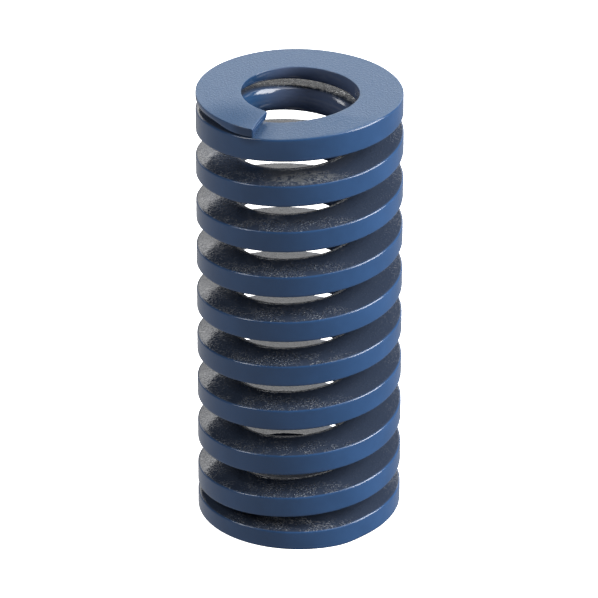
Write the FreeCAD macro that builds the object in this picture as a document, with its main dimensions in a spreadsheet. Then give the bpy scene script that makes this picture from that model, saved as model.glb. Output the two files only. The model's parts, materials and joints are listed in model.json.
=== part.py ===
import FreeCAD, Part
import math
import os

import Sketcher
from FreeCAD import Vector

# Helical compression spring of the heavy, rectangular-wire kind that works in a round pocket over a guide rod.
# One length of wire is wound right-handed, its two end turns are closed against their neighbours, and both ends
# are ground flat. Frame: +Z is the spring's axis, the lower ground end stands on z = 0 and the axis passes
# through x = y = 0. All sizes are in millimetres, turns are counted down the wire from its top end.
NODE = "helical_spring"

DIMENSIONS = {
    "free_length": 44.0,
    "outer_diameter": 19.7,
    "inner_diameter": 11.0,
    # wire section: height along the axis, and the rounding of its outer and inner edges
    "wire_height": 2.6,
    "outer_edge_radius": 0.27,
    "inner_edge_radius": 1.15,
    # the wound wire stands this much proud of both diameters before it is dressed to them
    "dressing_allowance": 0.12,
    "total_turns": 10.25,
    # where the wire ends at the top, seen from above, counter-clockwise from +X
    "top_end_angle": 241.0,
    # what grinding leaves of the wire's height at each of its two ends
    "top_end_thickness": 0.68,
    "bottom_end_thickness": 1.9,
    # rise per turn of each closed end, how long it lasts, and how many turns the coils then take to open
    "top_closed_pitch": 2.0,
    "top_closed_turns": 0.15,
    "top_opening_turns": 1.35,
    "bottom_closed_pitch": 0.7,
    "bottom_closed_turns": 0.1,
    "bottom_opening_turns": 0.8,
}

# the centre line is cut in spans of about a quarter turn, each a smooth curve through this many steps
SPANS_PER_TURN = 4
STEPS_PER_SPAN = 4

os.makedirs("parts", exist_ok=True)
doc = FreeCAD.newDocument("HelicalSpring")


def make_sheet():
    """The driving dimensions, one row each: name in column A, number in column B."""
    sheet = doc.addObject("Spreadsheet::Sheet", "Dimensions")
    for row, (name, value) in enumerate(DIMENSIONS.items(), start=1):
        sheet.set(f"A{row}", name)
        sheet.set(f"B{row}", str(value))
        sheet.setAlias(f"B{row}", name)
    doc.recompute()
    return sheet


def opened_turns(turns, closed, opening):
    """How many turns' worth of the pitch change has built up, this many turns from an end of the wire."""
    share = min(max((turns - closed) / opening, 0.0), 1.0)
    return opening * (share**3 - share**4 / 2) + max(turns - closed - opening, 0.0)


def opened_share(turns, closed, opening):
    """How far the coils have opened at this place, from 0 in the closed end to 1 in the body of the spring."""
    share = min(max((turns - closed) / opening, 0.0), 1.0)
    return share * share * (3 - 2 * share)


class Winding:
    """The wire's centre line: a helix whose pitch eases from each closed end to the even pitch of the body."""

    def __init__(self, sheet):
        self.sheet = sheet
        self.turns = sheet.total_turns
        self.radius = sheet.outer_diameter / 2
        self.top_height = sheet.free_length - sheet.top_end_thickness + sheet.wire_height / 2
        self.bottom_height = sheet.bottom_end_thickness - sheet.wire_height / 2
        top_lag = sheet.top_closed_turns + sheet.top_opening_turns / 2
        bottom_lag = sheet.bottom_closed_turns + sheet.bottom_opening_turns / 2
        closed_rise = sheet.top_closed_pitch * top_lag + sheet.bottom_closed_pitch * bottom_lag
        rise = self.top_height - self.bottom_height
        self.pitch = (rise - closed_rise) / (self.turns - top_lag - bottom_lag)

    def fall(self, turn):
        """Drop of the wire's middle from its top end to this turn, and its rate per turn there."""
        sheet = self.sheet
        left = self.turns - turn
        top = (sheet.top_closed_turns, sheet.top_opening_turns)
        bottom = (sheet.bottom_closed_turns, sheet.bottom_opening_turns)
        top_step = self.pitch - sheet.top_closed_pitch
        bottom_step = self.pitch - sheet.bottom_closed_pitch
        drop = self.pitch * turn - top_step * (turn - opened_turns(turn, *top))
        drop -= bottom_step * (
            self.turns - opened_turns(self.turns, *bottom) - left + opened_turns(left, *bottom)
        )
        rate = self.pitch - top_step * (1 - opened_share(turn, *top))
        rate -= bottom_step * (1 - opened_share(left, *bottom))
        return drop, rate

    def angle(self, turn):
        return math.radians(self.sheet.top_end_angle) - 2 * math.pi * turn

    def point(self, turn):
        angle = self.angle(turn)
        height = self.top_height - self.fall(turn)[0]
        return Vector(self.radius * math.cos(angle), self.radius * math.sin(angle), height)

    def direction(self, turn):
        """The way the centre line runs here, down the wire."""
        angle = self.angle(turn)
        along = 2 * math.pi * self.radius
        return Vector(along * math.sin(angle), -along * math.cos(angle), -self.fall(turn)[1]).normalize()

    def wire(self):
        spans = math.ceil(self.turns * SPANS_PER_TURN)
        edges = []
        for span in range(spans):
            steps = [span + step / STEPS_PER_SPAN for step in range(STEPS_PER_SPAN + 1)]
            turns = [self.turns * step / spans for step in steps]
            curve = Part.BSplineCurve()
            curve.interpolate(
                Points=[self.point(turn) for turn in turns],
                InitialTangent=self.direction(turns[0]),
                FinalTangent=self.direction(turns[-1]),
                Scale=False,
            )
            edges.append(curve.toShape())
        return Part.Wire(edges)


def origin_plane(body, role):
    return next(plane for plane in body.Origin.OriginFeatures if plane.Role == role)


def name_constraint(sketch, name, constraint, expression):
    """Adds a dimension to a sketch and binds it to the sheet."""
    index = sketch.addConstraint(constraint)
    sketch.renameConstraint(index, name)
    sketch.setExpression(f"Constraints.{name}", expression)


def wire_section(sheet, winding):
    """The wire's section where it ends at the top: flat sides, small outer and large inner roundings."""
    angle = winding.angle(0)
    outward = Vector(math.cos(angle), math.sin(angle), 0)
    upward = Vector(0, 0, 1)
    inner = sheet.inner_diameter / 2 - sheet.dressing_allowance
    outer = sheet.outer_diameter / 2 + sheet.dressing_allowance
    top = winding.top_height + sheet.wire_height / 2
    bottom = winding.top_height - sheet.wire_height / 2
    small = sheet.outer_edge_radius
    large = sheet.inner_edge_radius
    corners = [
        (outer - small, bottom + small, small, -90),
        (outer - small, top - small, small, 0),
        (inner + large, top - large, large, 90),
        (inner + large, bottom + large, large, 180),
    ]

    def on_arc(reach, height, radius, degrees):
        turned = math.radians(degrees)
        return outward * (reach + radius * math.cos(turned)) + upward * (height + radius * math.sin(turned))

    edges = []
    for number, (reach, height, radius, start) in enumerate(corners):
        bend = [on_arc(reach, height, radius, start + degrees) for degrees in (0, 45, 90)]
        edges.append(Part.Arc(*bend).toShape())
        next_reach, next_height, next_radius, next_start = corners[(number + 1) % len(corners)]
        side_end = on_arc(next_reach, next_height, next_radius, next_start)
        edges.append(Part.LineSegment(bend[-1], side_end).toShape())
    return Part.Wire(edges)


def make_wound_wire(sheet):
    """The wire as it leaves the winder, upright all the way and with its full section up to both ends."""
    winding = Winding(sheet)
    sweep = Part.BRepOffsetAPI.MakePipeShell(winding.wire())
    sweep.setBiNormalMode(Vector(0, 0, 1))
    sweep.add(wire_section(sheet, winding))
    sweep.build()
    sweep.makeSolid()
    wound = doc.addObject("Part::Feature", "WoundWire")
    wound.Shape = sweep.shape()
    print(f"pitch of the open coils {winding.pitch:.3f}")
    return wound


def draw_circle(sketch, radius, name, expression):
    """A circle about the axis in four quarter arcs that meet on the sketch's axes."""
    normal = Vector(0, 0, 1)
    arcs = []
    for quarter in range(4):
        circle = Part.Circle(Vector(0, 0, 0), normal, radius)
        arc = Part.ArcOfCircle(circle, quarter * math.pi / 2, (quarter + 1) * math.pi / 2)
        arcs.append(sketch.addGeometry(arc))
        sketch.addConstraint(Sketcher.Constraint("Coincident", arcs[-1], 3, -1, 1))
        axis = -1 if quarter % 2 == 0 else -2
        sketch.addConstraint(Sketcher.Constraint("PointOnObject", arcs[-1], 1, axis))
    for here, there in zip(arcs, arcs[1:] + arcs[:1]):
        sketch.addConstraint(Sketcher.Constraint("Coincident", here, 2, there, 1))
    name_constraint(sketch, name, Sketcher.Constraint("Radius", arcs[0], radius), expression)


def make_dressed_tube(sheet):
    """What dressing the diameters and grinding the ends leaves room for: a tube of the finished sizes."""
    body = doc.addObject("PartDesign::Body", "DressedTube")
    ring = body.newObject("Sketcher::SketchObject", "TubeRing")
    ring.AttachmentSupport = [(origin_plane(body, "XY_Plane"), "")]
    ring.MapMode = "FlatFace"
    draw_circle(ring, sheet.outer_diameter / 2, "outer_radius", "Dimensions.outer_diameter / 2")
    draw_circle(ring, sheet.inner_diameter / 2, "inner_radius", "Dimensions.inner_diameter / 2")
    tube = body.newObject("PartDesign::Pad", "TubeLength")
    tube.Profile = ring
    tube.setExpression("Length", "Dimensions.free_length")
    tube.Refine = False
    body.Tip = tube
    return body


def make_spring(sheet):
    wound = make_wound_wire(sheet)
    tube = make_dressed_tube(sheet)
    spring = doc.addObject("Part::MultiCommon", "Spring")
    spring.Shapes = [wound, tube]
    spring.Refine = False
    spring.Label = NODE
    return spring


def check_document():
    for item in doc.Objects:
        if "Invalid" in item.State or "Error" in item.State:
            raise RuntimeError(f"{item.Name} did not build: {item.State}")


def check_shape(item):
    shape = item.Shape
    if shape.isNull() or not shape.isValid() or len(shape.Solids) != 1:
        raise RuntimeError(f"{item.Label} is not one valid solid")


sheet = make_sheet()
spring = make_spring(sheet)
doc.recompute()
check_document()
check_shape(spring)
spring.Shape.Solids[0].exportStep(f"parts/{NODE}.step")
print(f"{NODE}: volume {spring.Shape.Volume:.1f}, faces {len(spring.Shape.Faces)}")
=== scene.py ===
import json
import math
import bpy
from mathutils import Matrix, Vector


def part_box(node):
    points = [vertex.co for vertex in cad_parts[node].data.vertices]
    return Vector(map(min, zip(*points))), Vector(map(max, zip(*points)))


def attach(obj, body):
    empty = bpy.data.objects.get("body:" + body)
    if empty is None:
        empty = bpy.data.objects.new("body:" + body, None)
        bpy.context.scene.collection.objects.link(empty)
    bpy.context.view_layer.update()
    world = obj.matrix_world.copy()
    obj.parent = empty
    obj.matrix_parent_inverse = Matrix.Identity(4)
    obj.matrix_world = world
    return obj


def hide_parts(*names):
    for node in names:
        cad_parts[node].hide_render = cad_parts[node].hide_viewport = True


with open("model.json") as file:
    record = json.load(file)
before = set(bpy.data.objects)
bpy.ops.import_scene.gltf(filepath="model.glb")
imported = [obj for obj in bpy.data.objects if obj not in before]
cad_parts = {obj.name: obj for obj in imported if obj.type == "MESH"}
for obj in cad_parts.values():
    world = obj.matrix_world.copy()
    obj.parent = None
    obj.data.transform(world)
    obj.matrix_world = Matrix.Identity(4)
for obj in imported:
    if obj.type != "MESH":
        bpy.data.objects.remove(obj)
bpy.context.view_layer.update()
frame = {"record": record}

from types import SimpleNamespace

import bpy
import numpy as np
from mathutils import Matrix, Vector

# A painted helical compression spring of rectangular wire. Metres, +Z up the axis, standing on z = 0.
# Turns are counted down the wire from its top end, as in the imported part, whose winding this follows.
NODE = "helical_spring"
MM = 0.001

lowest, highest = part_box(NODE)
LENGTH = highest.z
OUTER = (highest.x - lowest.x) / 2
bore = next(mount for mount in frame["record"]["mounts"] if mount["name"] == "guide_rod_bore")
INNER = bore["dims"]["r_mm"] * MM

# winding
WIRE_HEIGHT = 2.6 * MM
TURNS = 10.25
TOP_END_ANGLE = 241.0
TOP_END_THICKNESS = 0.68 * MM
BOTTOM_END_THICKNESS = 1.9 * MM
TOP_CLOSED = {"pitch": 2.0 * MM, "closed": 0.15, "opening": 1.35}
BOTTOM_CLOSED = {"pitch": 0.7 * MM, "closed": 0.1, "opening": 0.8}

# section: outer corners, and the nose that winding gives the inner side
OUTER_CORNER = 0.25 * MM
BODY_NOSE = 1.15 * MM
NOSE_CHANGE = 0.35 * MM
DEEPEST_NOSE_ANGLE = 270.0
END_NOSE = 0.75 * MM
NOSE_TURNS = {"top": (0.9, 1.9), "bottom": (0.3, 1.0)}
GROUND_EDGE = 0.07 * MM

# what winding leaves of the upper half's height at the outer side, and how fast it grows inwards
OUTER_SHARE = {"end": 0.86, "body": 0.64}
THICKENING = {"end": 0.03 / MM, "body": 0.1 / MM}
THINNING_TURNS = (1.12, 1.5)

# rounding of the edges at both ends of the wire
END_EDGE = 0.22 * MM

# the top end: its skew, its worn lower corner, and the paint that bridges to the coil below
TIP_SKEW = math.radians(3.0)
TIP_SKEW_TURNS = (0, 0.06)
WORN_CORNER = 0.4 * MM
WORN_TURNS = (0.02, 0.08, 0.14, 0.3)
PAINT_BRIDGE = 0.2
BRIDGE_TURNS = (0.03, 0.085)

# right under the top end, what winding leaves is this much less
UNDER_TIP_THINNING = 0.1
UNDER_TIP_TURNS = (0.88, 0.97, 1.01, 1.08)

# how this spring departs from an even winding
BACK_LIFT = 0.26 * MM
BACK_LIFT_TURNS = (1.3, 2.2)
RIM_DENT = 0.25 * MM
RIM_DENT_ANGLE = 45.0
RIM_DENT_TURNS = (0.03, 0.17)

# short lifts and one dip, each with the turns at which it starts, is full, fades and ends
SHORT_LIFTS = [
    (0.12 * MM, (0.6, 0.85, 0.93, 1.05)),
    (0.204 * MM, (1.12, 1.38, 1.5, 1.85)),
    (-0.14 * MM, (7.6, 7.85, 7.98, 8.2)),
]

# lift of the last coil, with its peak, and how it fades towards the bottom end
LAST_LIFT = 0.18 * MM
LAST_LIFT_TURNS = (9.55, 9.8)
LAST_PEAK_TURNS = (9.6, 9.76, 9.8, 9.86)
LAST_FADE_TURNS = (0, 0.25)

# mesh
STEPS_PER_TURN = 132
STEPS_PER_BEND = 60
END_STEPS = 5
SHORTEST_EDGE = 1e-9
SHARP_BEND = 0.2
STEPS_PER_SHARP_BEND = 7
POINTS_PER_CORNER = 18
# how much of the mesh goes to the long flat sides, against the corners
POINTS_PER_LENGTH = 1.2 / MM
# radius at which the flats are parted between the outer and the inner corners
FLAT_MIDDLE = 8.1 * MM

# paint colours, as linear red, green, blue and 1
BLUE = {"deep": (0.020, 0.056, 0.138, 1), "bright": (0.024, 0.066, 0.162, 1)}
# the bore's inner side: painted shade on the left, painted light on the right
BORE_SHADE_AND_LIGHT = {"left": (0.014, 0.041, 0.098, 1), "right": (0.066, 0.090, 0.158, 1)}
# painted shade: the darker blue on the wire's top end
TIP_SHADE_BLUE = (0.012, 0.036, 0.092, 1)
# the ground ends' paint: its own satin blue, with grey added as a painted reflection, a little less in the
# darker patch
GROUND_BLUE_AND_SHEEN = {"plain": (0.068, 0.115, 0.198, 1), "darker_patch": (0.032, 0.072, 0.146, 1)}
# painted shade: the coils' flats between the turns, near black, lifted to a dark grey as painted glare
COIL_SHADE_BLACK = (0.029, 0.040, 0.066, 1)
# painted glints: grey flecks that stand for light reflected off the lumps
GLINT_GREY = (0.18, 0.20, 0.23, 1)
STREAK_GREY = (0.125, 0.135, 0.15, 1)

# paint relief: how deep each kind of unevenness is
PEEL_DEPTH = 0.006 * MM
LUMP_DEPTH = {"side": 0.002 * MM, "coil": 0.006 * MM, "patch": 0.06 * MM, "ground": 0.022 * MM}
GRAIN_DEPTH = {"side": 0.002 * MM, "flat": 0.004 * MM}

# paint gloss, as the shader's roughness, and its reflectivity
ROUGHNESS = {"side": 0.17, "bore": 0.12, "coil": 0.04, "darker_patch": 0.62}
GROUND_ROUGHNESS = (0.32, 0.46)
SPECULAR_LEVEL = 0.39

# where the flats and the ground ends begin: how upright the surface's normal is, and heights
FLAT_NORMALS = (0.7, 0.97)
TOP_GROUND_HEIGHTS = (LENGTH - 1.1 * MM, LENGTH - 0.7 * MM)
BOTTOM_GROUND_HEIGHTS = (0.1 * MM, 0.05 * MM)

# the side that the lumps and the painted glints face, and how far they reach: forward, out from the axis,
# up, and behind
GLINT_PATCH_SIDE = (-0.17, -0.985, 0)
GLINT_PATCH_FORWARD = (6.3 * MM, 8.7 * MM)
GLINT_PATCH_RADIUS = (7.0 * MM, 8.4 * MM)
GLINT_PATCH_HEIGHTS = (LENGTH - 2.0 * MM, LENGTH - 3.0 * MM)
GLINT_PATCH_BEHIND = (-4.0 * MM, -6.0 * MM)
GLINT_PATCH_BEHIND_HEIGHTS = (LENGTH - 5.5 * MM, LENGTH - 4.0 * MM)

# a patch of grey streaks on the second coil: its middle, how much distance counts along each axis, and its
# reach
STREAK_PATCH_MIDDLE = (0.2 * MM, -8.5 * MM, 39.2 * MM)
STREAK_PATCH_SHAPE = (0.4, 1.2, 0.6)
STREAK_PATCH_REACH = (1.7 * MM, 0.9 * MM)

# a darker, rougher patch on the ground end beside the wire's end, and painted shade on the end itself
DARK_PATCH_MIDDLE = (-6.2 * MM, -6.4 * MM, LENGTH)
DARK_PATCH_REACH = (5.6 * MM, 0.2 * MM)
TIP_SHADE_REACH = (2.9 * MM, 2.3 * MM)

# how brightly the room stands round the spring: its floor from left to right, and the rest
FLOOR_GLOW = {"left": 0.56, "right": 0.3}
ROOM_GLOW = 0.12

# soft panels: azimuth and elevation in degrees, distance, size and radiance
PANELS = {
    "back_panel": (90, 22.5, 0.7, (1.3, 0.11), 2.55),
    "low_back_panel": (90, 12, 0.7, (1.3, 0.15), 1.1),
    "right_panel": (-11, 32, 0.6, (0.4, 0.4), 17.2),
    "upper_right_panel": (-28, 62, 0.6, (0.25, 0.2), 5.0),
    "left_panel": (193, 40, 0.6, (0.15, 0.3), 9.5),
}

# the floor: where its glow begins round the spring, how strong it is, and its grey, darkened under the
# spring as painted shade
FLOOR_HALF_SIZE = 3.0
FLOOR_EDGE = (0.85 * OUTER, 1.03 * OUTER)
FLOOR_EMISSION = 1.2
FLOOR_GREY_AND_SHADE = {"under": 0.4, "around": 0.95}

# the photograph's camera, in outer radii of the spring and in pixels of its frame
CAMERA_ELEVATION = math.radians(26.58)
CAMERA_ROLL = math.radians(0.102)
CAMERA_DISTANCE = 49.93 * OUTER
CAMERA_TARGET = Vector((-0.004, 0, 2.239)) * OUTER
FOCAL_PIXELS = 5121.9
FRAME_PIXELS = 598


def smooth(value, start, end):
    """0 before start, 1 after end, with an even ease between them."""
    share = np.clip((np.asarray(value, float) - start) / (end - start), 0, 1)
    return share * share * (3 - 2 * share)


def hump(value, start, full, fading, end):
    """1 between full and fading, easing from 0 at start and back to 0 at end."""
    return smooth(value, start, full) * (1 - smooth(value, fading, end))


def opened_turns(turns, end):
    """How many turns' worth of the pitch change has built up, this many turns from an end of the wire."""
    share = np.clip((turns - end["closed"]) / end["opening"], 0, 1)
    rest = np.maximum(turns - end["closed"] - end["opening"], 0)
    return end["opening"] * (share**3 - share**4 / 2) + rest


def middle_height(turn):
    """Height of the wire's middle: a helix whose pitch eases from each closed end to the body's."""
    start = LENGTH - TOP_END_THICKNESS + WIRE_HEIGHT / 2
    finish = BOTTOM_END_THICKNESS - WIRE_HEIGHT / 2
    top_lag = TOP_CLOSED["closed"] + TOP_CLOSED["opening"] / 2
    bottom_lag = BOTTOM_CLOSED["closed"] + BOTTOM_CLOSED["opening"] / 2
    closed_fall = TOP_CLOSED["pitch"] * top_lag + BOTTOM_CLOSED["pitch"] * bottom_lag
    pitch = (start - finish - closed_fall) / (TURNS - top_lag - bottom_lag)
    left = TURNS - turn
    top_gain = turn - opened_turns(turn, TOP_CLOSED)
    bottom_gain = turn - opened_turns(TURNS, BOTTOM_CLOSED) + opened_turns(left, BOTTOM_CLOSED)
    fall = pitch * turn - (pitch - TOP_CLOSED["pitch"]) * top_gain
    fall -= (pitch - BOTTOM_CLOSED["pitch"]) * bottom_gain
    return start - fall


def angle_of(turn):
    return math.radians(TOP_END_ANGLE) - 2 * math.pi * turn


def settling(turn):
    """How far the wire's middle stands above the even winding."""
    behind = (1 + math.sin(angle_of(turn))) / 2 * smooth(turn, *BACK_LIFT_TURNS)
    last_coil = smooth(turn, *LAST_LIFT_TURNS) + hump(turn, *LAST_PEAK_TURNS)
    last_coil = last_coil * smooth(TURNS - turn, *LAST_FADE_TURNS)
    short_lifts = sum(height * hump(turn, *turns) for height, turns in SHORT_LIFTS)
    return BACK_LIFT * behind + LAST_LIFT * last_coil + short_lifts


def rim_dent(turn):
    """How far the end ring stands in from the round, on the side where its outline is flattened."""
    middle = (TOP_END_ANGLE - RIM_DENT_ANGLE) / 360
    return RIM_DENT * (1 - smooth(abs(turn - middle), *RIM_DENT_TURNS))


def nose_of(turn):
    """Radial depth of the rounded inner side: squarer in the closed ends than in the body."""
    body = BODY_NOSE + NOSE_CHANGE * math.cos(angle_of(turn) - math.radians(DEEPEST_NOSE_ANGLE))
    squarer = 1 - smooth(turn, *NOSE_TURNS["top"]) * smooth(TURNS - turn, *NOSE_TURNS["bottom"])
    return body + (END_NOSE - body) * squarer


def keystone(turn):
    """What winding leaves of the upper half's height at the outer side, and how fast it grows inwards."""
    body = smooth(turn, *THINNING_TURNS)
    share = OUTER_SHARE["end"] + (OUTER_SHARE["body"] - OUTER_SHARE["end"]) * body
    share -= UNDER_TIP_THINNING * hump(turn, *UNDER_TIP_TURNS)
    growth = THICKENING["end"] + (THICKENING["body"] - THICKENING["end"]) * body
    return share, growth


def half_outline(outer, inner, half, corner, nose):
    """The upper half of the section, from the outer side over its corner and the nose to the inner side."""
    quarter = np.linspace(0, math.pi / 2, STEPS_PER_BEND)
    outer_bend = np.stack([
        outer - corner + corner * np.cos(quarter),
        half - corner + corner * np.sin(quarter),
    ], 1)
    nose_bend = np.stack([
        inner + nose - nose * np.sin(quarter),
        half * np.cos(quarter),
    ], 1)
    return np.concatenate([outer_bend, nose_bend])


def section(turn, inset=0.0):
    """Outline of the wire here as dense (radius, height) points, counter-clockwise, ground at the ends."""
    shrink = GROUND_EDGE + inset
    outer = OUTER - rim_dent(turn) - shrink
    inner = INNER - rim_dent(turn) + shrink
    half = WIRE_HEIGHT / 2 - shrink
    nose = nose_of(turn) - shrink
    upper_corner = OUTER_CORNER - GROUND_EDGE
    lower_corner = upper_corner + WORN_CORNER * hump(turn, *WORN_TURNS)
    upper = half_outline(outer, inner, half, upper_corner, nose)
    lower = half_outline(outer, inner, half, lower_corner, nose)[::-1] * (1, -1)
    outline = np.concatenate([upper, lower[1:]])
    share, growth = keystone(turn)
    thinned = share + growth * (OUTER - outline[:, 0])
    across = (outline[:, 0] - INNER) / (OUTER - INNER)
    bridged = 1 + PAINT_BRIDGE * across * (1 - smooth(turn, *BRIDGE_TURNS))
    outline[:, 1] *= np.where(outline[:, 1] > 0, thinned, bridged)
    outline[:, 1] += middle_height(turn) + settling(turn)
    outline = cut_level(outline, LENGTH - shrink, above=True)
    outline = cut_level(outline, shrink, above=False)
    return swell(outline, GROUND_EDGE)


def cut_level(outline, level, above):
    """The outline without what lies above, or below, this level."""
    sign = 1 if above else -1
    over = sign * (outline[:, 1] - level)
    if over.max() <= 0:
        return outline
    kept = []
    count = len(outline)
    for here in range(count):
        there = (here + 1) % count
        if over[here] <= 0:
            kept.append(outline[here])
        if (over[here] > 0) != (over[there] > 0):
            share = over[here] / (over[here] - over[there])
            kept.append(outline[here] + share * (outline[there] - outline[here]))
    return np.array(kept)


def swell(outline, reach):
    """The convex outline grown by reach, with its corners rounded by arcs of that radius."""
    edges = np.roll(outline, -1, 0) - outline
    lengths = np.linalg.norm(edges, axis=1)
    keep = lengths > SHORTEST_EDGE
    outline, edges, lengths = outline[keep], edges[keep], lengths[keep]
    normals = np.stack([edges[:, 1], -edges[:, 0]], 1) / lengths[:, None]
    points = []
    for number, point in enumerate(outline):
        before, after = normals[number - 1], normals[number]
        bend = math.atan2(before[0] * after[1] - before[1] * after[0], before @ after)
        start = math.atan2(before[1], before[0])
        steps = STEPS_PER_SHARP_BEND if bend > SHARP_BEND else 1
        for step in range(steps + 1):
            facing = start + bend * step / steps
            points.append(point + reach * np.array([math.cos(facing), math.sin(facing)]))
    return np.array(points)


def crossing(values, reach, level, first, last):
    """Distance round the outline where values pass this level, between two places on it."""
    for here in range(first, last):
        before, after = values[here] - level, values[here + 1] - level
        if before * after <= 0 and before != after:
            share = before / (before - after)
            return reach[here] + share * (reach[here + 1] - reach[here])
    raise ValueError("the outline never reaches that level")


def resample(outline):
    """Points round the outline from the outer side's middle: as many for each of its four corners."""
    level = (outline[:, 1].min() + outline[:, 1].max()) / 2
    # start at the lowest point outside FLAT_MIDDLE: points inside it count as a metre higher
    lowest_point = int(np.argmin(outline[:, 1] + (outline[:, 0] < FLAT_MIDDLE)))
    outline = np.roll(outline, -lowest_point, 0)
    closed = np.concatenate([outline, outline, outline[:1]])
    steps = np.diff(closed, axis=0)
    lengths = np.linalg.norm(steps, axis=1)
    facing = np.unwrap(np.arctan2(steps[:, 1], steps[:, 0]))
    bends = np.concatenate([np.abs(np.diff(facing)), [0]])
    reach = np.concatenate([[0], np.cumsum(lengths)])
    effort = np.concatenate([[0], np.cumsum(lengths * POINTS_PER_LENGTH + bends)])
    count = len(outline)
    highest_point = int(np.argmax(closed[:count, 1]))
    marks = [crossing(closed[:, 1], reach, level, 0, highest_point)]
    for axis, value in ((0, FLAT_MIDDLE), (1, level), (0, FLAT_MIDDLE), (1, level)):
        first = int(np.searchsorted(reach, marks[-1], side="right"))
        marks.append(crossing(closed[:, axis], reach, value, first, 2 * count))
    places = []
    for start, finish in zip(marks, marks[1:]):
        wanted = np.linspace(*np.interp([start, finish], reach, effort), POINTS_PER_CORNER + 1)[:-1]
        places.append(np.interp(wanted, effort, reach))
    places = np.concatenate(places)
    return np.stack([np.interp(places, reach, closed[:, axis]) for axis in (0, 1)], 1)


def ring_points(turn, inset=0.0, advance=0.0):
    """One ring of the wire, drawn in by inset and moved along by advance, as (x, y, z) points."""
    ring = resample(section(turn, inset))
    across = (ring[:, 0] - INNER) / (OUTER - INNER)
    skew = TIP_SKEW * (2 * across - 1) * (1 - smooth(turn, *TIP_SKEW_TURNS))
    angle = angle_of(turn) + skew - advance / ring[:, 0]
    return np.stack([ring[:, 0] * np.cos(angle), ring[:, 0] * np.sin(angle), ring[:, 1]], 1)


def spring_rings():
    """Every ring of the wire from its top end to its bottom end, with the edges of both ends rounded."""
    count = int(TURNS * STEPS_PER_TURN)
    bends = [math.pi / 2 * step / END_STEPS for step in reversed(range(END_STEPS))]
    insets = [END_EDGE * (1 - math.cos(bend)) for bend in bends]
    advances = [END_EDGE * (1 - math.sin(bend)) for bend in bends]
    rings = [ring_points(0, inset, advance) for inset, advance in zip(insets, advances)]
    rings += [ring_points(TURNS * step / count) for step in range(1, count)]
    rings += [
        ring_points(TURNS, inset, -advance)
        for inset, advance in zip(reversed(insets), reversed(advances))
    ]
    return np.array(rings)


def build_spring():
    rings = spring_rings()
    count, around = rings.shape[:2]
    faces = []
    for ring in range(count - 1):
        for point in range(around):
            following = (point + 1) % around
            faces.append((
                ring * around + point,
                (ring + 1) * around + point,
                (ring + 1) * around + following,
                ring * around + following,
            ))
    faces.append(tuple(range(around)))
    faces.append(tuple(reversed(range((count - 1) * around, count * around))))
    mesh = bpy.data.meshes.new("spring_wire")
    mesh.from_pydata(rings.reshape(-1, 3).tolist(), [], faces)
    mesh.update()
    mesh.polygons.foreach_set("use_smooth", [True] * (len(faces) - 2) + [False, False])
    piece = bpy.data.objects.new("spring_wire", mesh)
    bpy.context.scene.collection.objects.link(piece)
    return piece


class Nodes:
    """Adds nodes to the tree of a material or of the world, and links them."""

    def __init__(self, tree, shader, coordinates):
        self.tree = tree
        self.shader = tree.nodes[shader]
        self.place = self.add("ShaderNodeTexCoord").outputs[coordinates]

    def add(self, kind, inputs=(), **settings):
        node = self.tree.nodes.new(kind)
        for name, value in settings.items():
            setattr(node, name, value)
        for slot, value in enumerate(inputs):
            self.put(node.inputs[slot], value)
        return node

    def put(self, socket, value):
        """Links an output to a socket, or sets the socket to a plain value."""
        if isinstance(value, bpy.types.NodeSocket):
            self.tree.links.new(value, socket)
        else:
            socket.default_value = value

    def split(self, vector):
        """A vector's X, Y and Z."""
        return self.add("ShaderNodeSeparateXYZ", [vector]).outputs

    def vector(self, operation, *inputs, output="Vector"):
        return self.add("ShaderNodeVectorMath", inputs, operation=operation).outputs[output]

    def number(self, operation, *inputs):
        return self.add("ShaderNodeMath", inputs, operation=operation).outputs[0]

    def sum(self, first, second):
        return self.number("ADD", first, second)

    def times(self, first, second):
        return self.number("MULTIPLY", first, second)

    def rest(self, share):
        """What is left of 1."""
        return self.number("SUBTRACT", 1.0, share)

    def ramp(self, value, low, high, to_low=0.0, to_high=1.0, shape="SMOOTHSTEP"):
        """value from low to high, mapped onto to_low to to_high, and held beyond them."""
        inputs = [value, low, high, to_low, to_high]
        return self.add("ShaderNodeMapRange", inputs, interpolation_type=shape).outputs[0]

    def noise(self, size, detail, roughness, distortion=0.0, stretch=(1, 1, 1)):
        """Cloudy noise from 0 to 1 with features of about this size in metres."""
        node = self.add("ShaderNodeTexNoise")
        self.put(node.inputs["Vector"], self.vector("MULTIPLY", self.place, stretch))
        self.put(node.inputs["Scale"], 1 / size)
        self.put(node.inputs["Detail"], detail)
        self.put(node.inputs["Roughness"], roughness)
        self.put(node.inputs["Distortion"], distortion)
        return node.outputs["Fac"]

    def mix(self, share, first, second):
        """first where share is 0, second where it is 1: numbers."""
        node = self.add("ShaderNodeMix", [share], data_type="FLOAT")
        self.put(node.inputs["A"], first)
        self.put(node.inputs["B"], second)
        return node.outputs["Result"]

    def mix_colour(self, share, first, second):
        """first where share is 0, second where it is 1: colours, which have sockets 6, 7 and output 2."""
        node = self.add("ShaderNodeMix", [share], data_type="RGBA")
        self.put(node.inputs[6], first)
        self.put(node.inputs[7], second)
        return node.outputs[2]

    def bump(self, height, depth, under=None):
        """Surface normal for a height from 0 to 1 that stands for this depth in metres."""
        node = self.add("ShaderNodeBump")
        self.put(node.inputs["Distance"], depth)
        self.put(node.inputs["Height"], height)
        if under is not None:
            self.put(node.inputs["Normal"], under)
        return node.outputs["Normal"]


def new_material(name):
    material = bpy.data.materials.new(name)
    material.use_nodes = True
    return material, Nodes(material.node_tree, "Principled BSDF", "Object")


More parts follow.
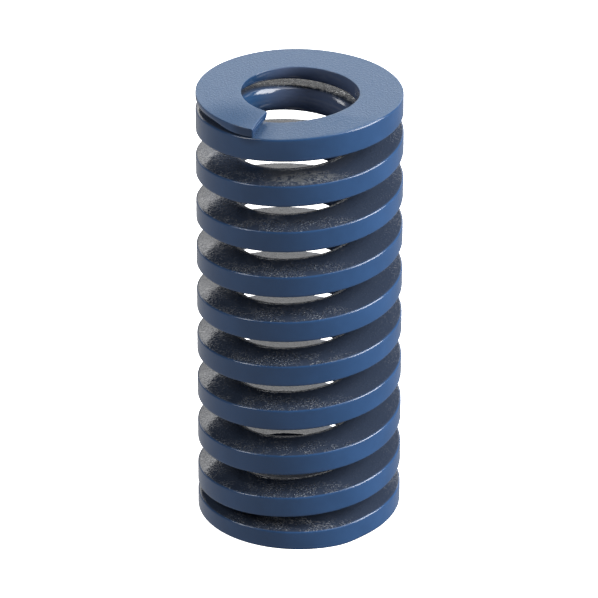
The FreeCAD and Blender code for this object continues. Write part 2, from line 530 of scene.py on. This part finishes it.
def paint_regions(paint):
    """Where the paint differs, each as a share from 0 to 1."""
    normal = paint.add("ShaderNodeNewGeometry").outputs["Normal"]
    upright = paint.number("ABSOLUTE", paint.split(normal)["Z"])
    aside, height = (paint.split(paint.place)[axis] for axis in "XZ")
    level_place = paint.vector("MULTIPLY", paint.place, (1, 1, 0))
    radius = paint.vector("LENGTH", level_place, output="Value")
    forward = paint.vector("DOT_PRODUCT", paint.place, GLINT_PATCH_SIDE, output="Value")
    inward = paint.vector("DOT_PRODUCT", normal, level_place, output="Value")

    flat = paint.ramp(upright, *FLAT_NORMALS)
    top_end = paint.ramp(height, *TOP_GROUND_HEIGHTS)
    bottom_end = paint.ramp(height, *BOTTOM_GROUND_HEIGHTS)
    ground = paint.times(flat, paint.sum(top_end, bottom_end))

    # lumps, and grey flecks painted as glints of reflected light, gather in patches near the flats' outer
    # front edges, and behind on the second coil
    lumps_and_glints = paint.ramp(paint.noise(1.7 * MM, detail=3.0, roughness=0.65), 0.38, 0.54)
    lumps_and_glints = paint.times(lumps_and_glints, paint.ramp(radius, *GLINT_PATCH_RADIUS, to_low=0.15))
    lumps_and_glints = paint.times(lumps_and_glints, paint.ramp(forward, *GLINT_PATCH_FORWARD, to_low=0.06))
    lumps_and_glints = paint.times(lumps_and_glints, paint.ramp(height, *GLINT_PATCH_HEIGHTS))
    behind = paint.ramp(forward, *GLINT_PATCH_BEHIND)
    second_coil = paint.ramp(height, *GLINT_PATCH_BEHIND_HEIGHTS)
    lumps_and_glints = paint.sum(lumps_and_glints, paint.times(behind, second_coil))

    streaks = paint.noise(0.32 * MM, detail=3.0, roughness=0.65, distortion=0.5, stretch=(0.5, 1, 1))
    streaks = paint.ramp(streaks, 0.42, 0.56)
    streak_way = paint.vector("SUBTRACT", paint.place, STREAK_PATCH_MIDDLE)
    streak_way = paint.vector("MULTIPLY", streak_way, STREAK_PATCH_SHAPE)
    streak_patch_reach = paint.vector("LENGTH", streak_way, output="Value")
    dark_patch_reach = paint.vector("DISTANCE", paint.place, DARK_PATCH_MIDDLE, output="Value")

    tip_angle = math.radians(TOP_END_ANGLE)
    tip_radius = (INNER + OUTER) / 2
    tip_middle = (tip_radius * math.cos(tip_angle), tip_radius * math.sin(tip_angle), LENGTH)
    tip_reach = paint.vector("DISTANCE", paint.place, tip_middle, output="Value")

    return SimpleNamespace(
        flat=flat,
        ground=ground,
        coil_flat=paint.times(flat, paint.rest(ground)),
        inside=paint.ramp(inward, -0.5 * MM, -3.0 * MM),
        # where the bore goes from painted shade to painted light
        right=paint.ramp(aside, -4.6 * MM, -1.0 * MM),
        lumps_and_glints=lumps_and_glints,
        grey_streaks=paint.times(paint.ramp(streak_patch_reach, *STREAK_PATCH_REACH), streaks),
        # a darker, rougher patch on the ground end beside the wire's end
        darker_patch=paint.times(ground, paint.ramp(dark_patch_reach, *DARK_PATCH_REACH)),
        # painted shade on the wire's top end, away from its flats
        tip_shade=paint.times(paint.ramp(tip_reach, *TIP_SHADE_REACH), paint.rest(flat)),
    )


def colour_paint(paint, regions):
    cloud = paint.ramp(paint.noise(4.0 * MM, detail=3.0, roughness=0.55), 0.3, 0.7)
    # painted glints: grey flecks on the coils' flats
    glints = paint.noise(0.16 * MM, detail=1.0, roughness=0.6, distortion=0.8, stretch=(1, 1, 1.6))
    glints = paint.ramp(glints, 0.58, 0.68)
    bore_shade_and_light = paint.mix_colour(regions.right, BORE_SHADE_AND_LIGHT["left"], BORE_SHADE_AND_LIGHT["right"])
    coil_colour = paint.mix_colour(paint.times(glints, regions.lumps_and_glints), COIL_SHADE_BLACK, GLINT_GREY)
    coil_colour = paint.mix_colour(regions.grey_streaks, coil_colour, STREAK_GREY)
    ground_blue_and_sheen = paint.mix_colour(regions.darker_patch, GROUND_BLUE_AND_SHEEN["plain"], GROUND_BLUE_AND_SHEEN["darker_patch"])
    colour = paint.mix_colour(cloud, BLUE["deep"], BLUE["bright"])
    colour = paint.mix_colour(regions.inside, colour, bore_shade_and_light)
    colour = paint.mix_colour(regions.tip_shade, colour, TIP_SHADE_BLUE)
    # the coils' flats take the painted shade, with the painted glints and the grey streaks on it
    colour = paint.mix_colour(regions.coil_flat, colour, coil_colour)
    colour = paint.mix_colour(regions.ground, colour, ground_blue_and_sheen)
    paint.put(paint.shader.inputs["Base Color"], colour)


def polish_paint(paint, regions, grain):
    side = paint.mix(regions.inside, ROUGHNESS["side"], ROUGHNESS["bore"])
    glossy = paint.mix(regions.flat, side, ROUGHNESS["coil"])
    satin = paint.mix(regions.darker_patch, paint.ramp(grain, 0.3, 0.7, *GROUND_ROUGHNESS), ROUGHNESS["darker_patch"])
    paint.put(paint.shader.inputs["Roughness"], paint.mix(regions.ground, glossy, satin))
    paint.shader.inputs["Specular IOR Level"].default_value = SPECULAR_LEVEL


def raise_paint(paint, regions, grain):
    """Relief of three kinds, one on the other: slow orange peel, lumps and fine grain."""
    lumps = paint.noise(0.2 * MM, detail=1.5, roughness=0.6, distortion=0.4)
    lumps = paint.ramp(lumps, 0.42, 0.75)
    lump_depth = paint.mix(regions.lumps_and_glints, LUMP_DEPTH["coil"], LUMP_DEPTH["patch"])
    lump_depth = paint.mix(regions.flat, LUMP_DEPTH["side"], lump_depth)
    lump_depth = paint.mix(regions.ground, lump_depth, LUMP_DEPTH["ground"])
    grain_depth = paint.mix(regions.flat, GRAIN_DEPTH["side"], GRAIN_DEPTH["flat"])
    peeled = paint.bump(paint.noise(0.9 * MM, detail=1.5, roughness=0.5), PEEL_DEPTH)
    lumpy = paint.bump(paint.times(lumps, lump_depth), 1.0, peeled)
    grainy = paint.bump(paint.times(grain, grain_depth), 1.0, lumpy)
    paint.put(paint.shader.inputs["Normal"], grainy)


def paint_material():
    """Blue enamel: glossy on the sides, painted dark as shade on the coils' flats and lumpy there, satin on
    the ground ends.
    """
    material, paint = new_material("spring_paint")
    regions = paint_regions(paint)
    grain = paint.noise(0.22 * MM, detail=2.0, roughness=0.6)
    colour_paint(paint, regions)
    polish_paint(paint, regions, grain)
    raise_paint(paint, regions, grain)
    return material


def add_panel(name, azimuth, elevation, distance, size, radiance):
    """A soft rectangular light that faces the spring. Azimuth is counter-clockwise from +X, from above."""
    side, rise = math.radians(azimuth), math.radians(elevation)
    away = Vector((math.cos(side) * math.cos(rise), math.sin(side) * math.cos(rise), math.sin(rise)))
    light = bpy.data.lights.new(name, "AREA")
    light.shape = "RECTANGLE"
    light.size, light.size_y = size
    light.energy = radiance * math.pi * size[0] * size[1]
    lamp = bpy.data.objects.new(name, light)
    lamp.location = Vector((0, 0, LENGTH / 2)) + away * distance
    lamp.rotation_mode = "QUATERNION"
    lamp.rotation_quaternion = (-away).to_track_quat("-Z", "Y")
    lamp.visible_camera = False
    bpy.context.scene.collection.objects.link(lamp)


def build_floor():
    """A pale floor that glows evenly round the spring, so that no shadow shows, and is painted grey under
    it as shade.
    """
    size = FLOOR_HALF_SIZE
    mesh = bpy.data.meshes.new("floor")
    corners = [(-size, -size, 0), (size, -size, 0), (size, size, 0), (-size, size, 0)]
    mesh.from_pydata(corners, [], [(0, 1, 2, 3)])
    floor = bpy.data.objects.new("floor", mesh)
    bpy.context.scene.collection.objects.link(floor)
    material, nodes = new_material("floor")
    away = nodes.vector("LENGTH", nodes.place, output="Value")
    glow = nodes.ramp(away, *FLOOR_EDGE, to_high=FLOOR_EMISSION)
    grey_and_shade = nodes.ramp(glow, 0.0, 1.0, FLOOR_GREY_AND_SHADE["under"], FLOOR_GREY_AND_SHADE["around"], "LINEAR")
    nodes.put(nodes.shader.inputs["Base Color"], grey_and_shade)
    nodes.put(nodes.shader.inputs["Emission Strength"], glow)
    nodes.shader.inputs["Emission Color"].default_value = (1, 1, 1, 1)
    nodes.shader.inputs["Roughness"].default_value = 0.9
    nodes.shader.inputs["Specular IOR Level"].default_value = 0.1
    mesh.materials.append(material)
    floor.visible_glossy = False
    floor.visible_diffuse = False
    floor.visible_shadow = False


def build_world():
    """Plain studio surroundings: dim walls and ceiling, with a paler floor all round."""
    world = bpy.data.worlds.new("studio")
    world.use_nodes = True
    nodes = Nodes(world.node_tree, "Background", "Generated")
    direction = nodes.split(nodes.place)
    left, right = FLOOR_GLOW["left"], FLOOR_GLOW["right"]
    floor_glow = nodes.ramp(direction["X"], -0.8, 0.8, left, right, "LINEAR")
    glow = nodes.ramp(direction["Z"], -0.15, 0.1, floor_glow, ROOM_GLOW)
    nodes.put(nodes.shader.inputs["Strength"], glow)
    nodes.shader.inputs["Color"].default_value = (1, 1, 1, 1)
    bpy.context.scene.world = world


def build_camera():
    """The photograph's long lens, looking down along +Y, as worked out from the outlines of its rings."""
    data = bpy.data.cameras.new("camera")
    data.sensor_width = 36.0
    data.lens = FOCAL_PIXELS / FRAME_PIXELS * data.sensor_width
    data.clip_start = 0.05
    data.clip_end = 20
    camera = bpy.data.objects.new("camera", data)
    back = Vector((0, -math.cos(CAMERA_ELEVATION), math.sin(CAMERA_ELEVATION)))
    camera.location = CAMERA_TARGET + back * CAMERA_DISTANCE
    camera.rotation_mode = "QUATERNION"
    look = (-back).to_track_quat("-Z", "Y")
    camera.rotation_quaternion = look @ Matrix.Rotation(CAMERA_ROLL, 3, "Z").to_quaternion()
    bpy.context.scene.collection.objects.link(camera)
    bpy.context.scene.camera = camera


build_camera()
build_world()
build_floor()
for panel, values in PANELS.items():
    add_panel(panel, *values)
bpy.context.scene.view_settings.view_transform = "Standard"

spring = build_spring()
spring.data.materials.append(paint_material())
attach(spring, "root")
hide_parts(NODE)
